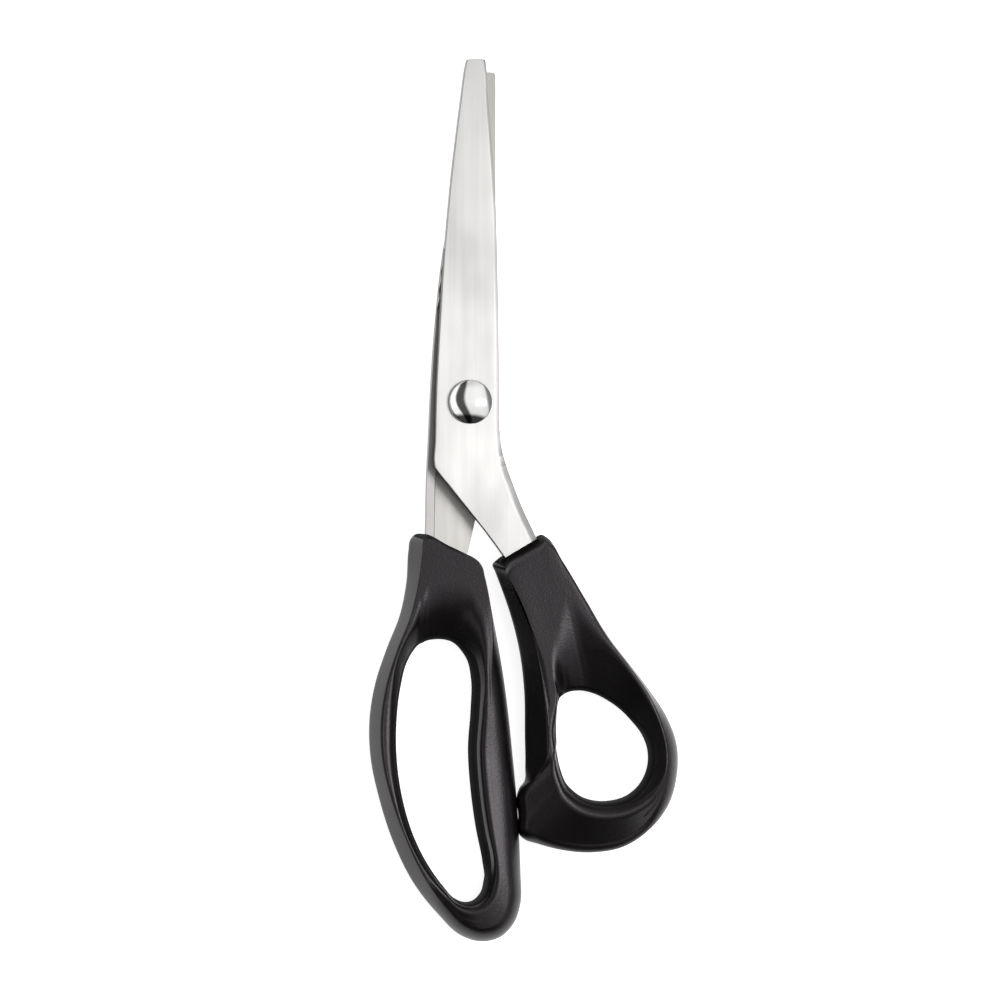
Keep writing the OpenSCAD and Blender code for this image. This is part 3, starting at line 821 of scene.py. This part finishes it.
def add_world():
    """A studio of white panels, one from overhead to the right and one on the left.

    Their edges bow along Y. The camera itself sees plain white."""
    world = bpy.data.worlds.new("studio")
    world.use_nodes = True
    tree = world.node_tree
    back = tree.nodes["Background"]
    coord = tree.nodes.new("ShaderNodeTexCoord")
    split = tree.nodes.new("ShaderNodeSeparateXYZ")
    lean = tree.nodes.new("ShaderNodeMath")
    lean.operation = "ARCTAN2"
    tree.links.new(coord.outputs["Generated"], split.inputs[0])
    tree.links.new(split.outputs["X"], lean.inputs[0])
    tree.links.new(split.outputs["Z"], lean.inputs[1])
    bow, bent = (tree.nodes.new("ShaderNodeMath") for _ in range(2))
    for node, inputs in ((bow, (split.outputs["Y"], BENDING, SLANT)),
                         (bent, (split.outputs["Y"], bow.outputs[0], lean.outputs[0]))):
        node.operation = "MULTIPLY_ADD"
        for socket, source in zip(node.inputs, inputs):
            if isinstance(source, float):
                socket.default_value = source
            else:
                tree.links.new(source, socket)
    across = ramp(tree, bent.outputs[0], ACROSS)
    along = ramp(tree, split.outputs["Y"], ALONG)
    both = tree.nodes.new("ShaderNodeMix")
    both.data_type = "RGBA"
    both.blend_type = "MULTIPLY"
    both.inputs["Factor"].default_value = 1
    tree.links.new(across, both.inputs["A"])
    tree.links.new(along, both.inputs["B"])
    tree.links.new(both.outputs["Result"], back.inputs["Color"])
    back.inputs["Strength"].default_value = WORLD_LIGHT
    plain = tree.nodes.new("ShaderNodeBackground")
    plain.inputs["Strength"].default_value = 1
    plain.inputs["Color"].default_value = (1, 1, 1, 1)
    path = tree.nodes.new("ShaderNodeLightPath")
    mix = tree.nodes.new("ShaderNodeMixShader")
    tree.links.new(path.outputs["Is Camera Ray"], mix.inputs[0])
    tree.links.new(back.outputs[0], mix.inputs[1])
    tree.links.new(plain.outputs[0], mix.inputs[2])
    tree.links.new(mix.outputs[0], tree.nodes["World Output"].inputs["Surface"])
    scene.world = world


# How far the floor lies below the object, in metres, and half its width
DROP = 0.00003
FLOOR = 3


def add_floor():
    """A white floor that is not part of the object."""
    s = FLOOR
    mesh = bpy.data.meshes.new("floor")
    mesh.from_pydata([(-s, -s, -DROP), (s, -s, -DROP), (s, s, -DROP), (-s, s, -DROP)], [], [(0, 1, 2, 3)])
    floor = bpy.data.objects.new("floor", mesh)
    scene.collection.objects.link(floor)
    n = Nodes("floor_white")
    n.set(Base_Color=(0.8, 0.8, 0.8, 1), Roughness=0.9, Specular_IOR_Level=0.0,
          Emission_Color=(1, 1, 1, 1), Emission_Strength=0.85)
    mesh.materials.append(n.material)


add_camera()
add_world()
add_floor()
add_softbox("right_box", (0.72, -0.02, 0.95), (0.3, 0.6), 6.2)
scene.view_settings.view_transform = "Standard"
